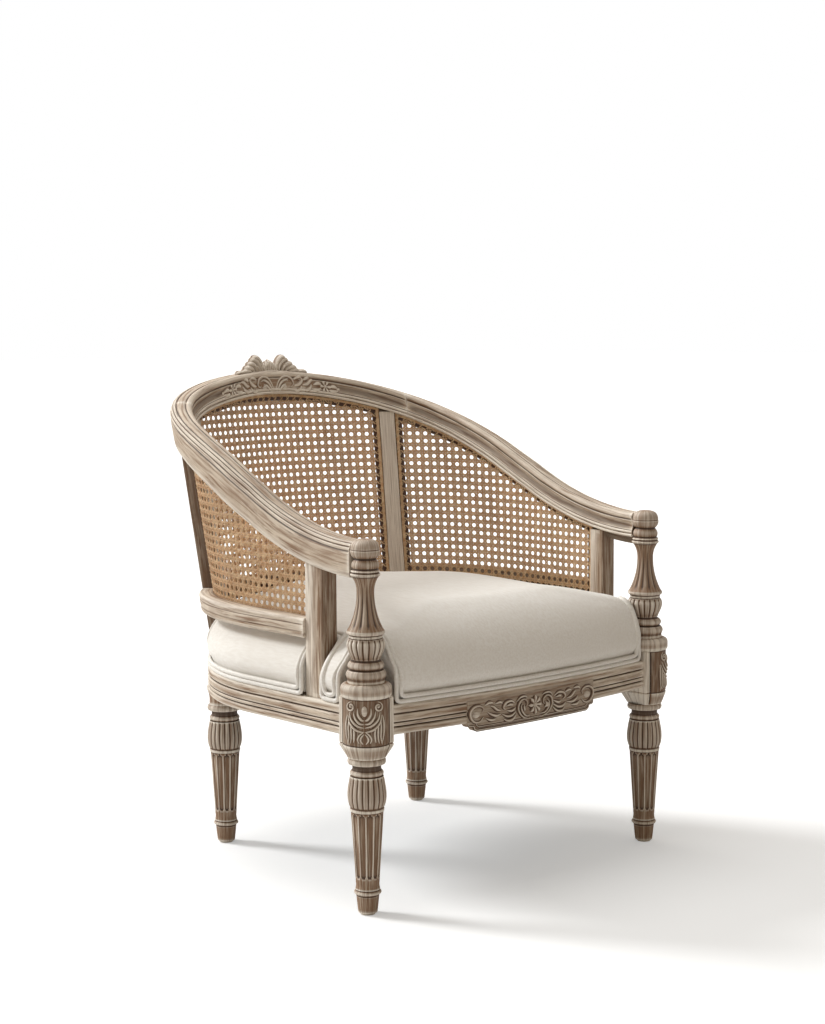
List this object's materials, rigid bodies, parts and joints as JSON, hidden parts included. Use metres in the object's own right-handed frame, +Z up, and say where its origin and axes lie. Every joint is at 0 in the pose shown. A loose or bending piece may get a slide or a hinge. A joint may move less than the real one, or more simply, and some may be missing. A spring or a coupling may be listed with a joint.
{
  "type": "accent chair",
  "caption": "Tub armchair with carved limed wood frame, caned back and sides, turned fluted legs and a tight upholstered seat edged with double welt.",
  "frame": {"origin": "on the floor, under the middle of the chair's box", "axes": "+Z up, -Y to the chair's front, +X to the right as seen from the front"},
  "size_m": [0.7604, 0.7685, 0.902],
  "materials": {
    "limed_wood": "limed and waxed, brown wash in the carving",
    "plain_wood": "bare wood, hidden",
    "cane": "natural woven cane",
    "linen": "off-white linen weave",
    "foam": "open foam",
    "burlap": "coarse burlap",
    "webbing": "jute webbing",
    "dust_cloth": "thin black cambric",
    "steel": "zinc-plated",
    "glide": "moulded nylon"
  },
  "bodies": {
    "root": {"front_leg_left": "limed_wood", "front_leg_right": "limed_wood", "rear_leg_left": "limed_wood", "rear_leg_right": "limed_wood", "arm_post_left": "limed_wood", "arm_post_right": "limed_wood", "front_seat_rail": "limed_wood", "side_seat_rail_left": "limed_wood", "side_seat_rail_right": "limed_wood", "rear_seat_rail": "limed_wood", "arm_rail_left": "limed_wood", "arm_rail_right": "limed_wood", "crest_rail": "limed_wood", "front_stile_left": "limed_wood", "front_stile_right": "limed_wood", "rear_stile_left": "limed_wood", "rear_stile_right": "limed_wood", "lower_rail_left": "limed_wood", "lower_rail_right": "limed_wood", "lower_rail_back": "limed_wood", "crest_carving": "limed_wood", "crest_relief": "limed_wood", "apron_carving": "limed_wood", "block_carving_left": "limed_wood", "block_carving_right": "limed_wood", "corner_brace_front_left": "plain_wood", "corner_brace_front_right": "plain_wood", "corner_brace_rear_left": "plain_wood", "corner_brace_rear_right": "plain_wood", "front_rail_dowels": "plain_wood", "side_rail_dowels": "plain_wood", "rear_rail_dowels": "plain_wood", "arm_post_dowels": "plain_wood", "crest_dowels": "plain_wood", "lower_rail_dowels": "plain_wood", "cane_left": "cane", "cane_right": "cane", "cane_back": "cane", "cane_spline_left": "cane", "cane_spline_right": "cane", "cane_spline_back": "cane", "seat_cover": "linen", "seat_welt": "linen", "seat_foam": "foam", "seat_burlap": "burlap", "seat_webbing_long": "webbing", "seat_webbing_cross": "webbing", "dust_cover": "dust_cloth", "brace_screws": "steel", "leg_glides": "glide"}
  },
  "joints": []
}
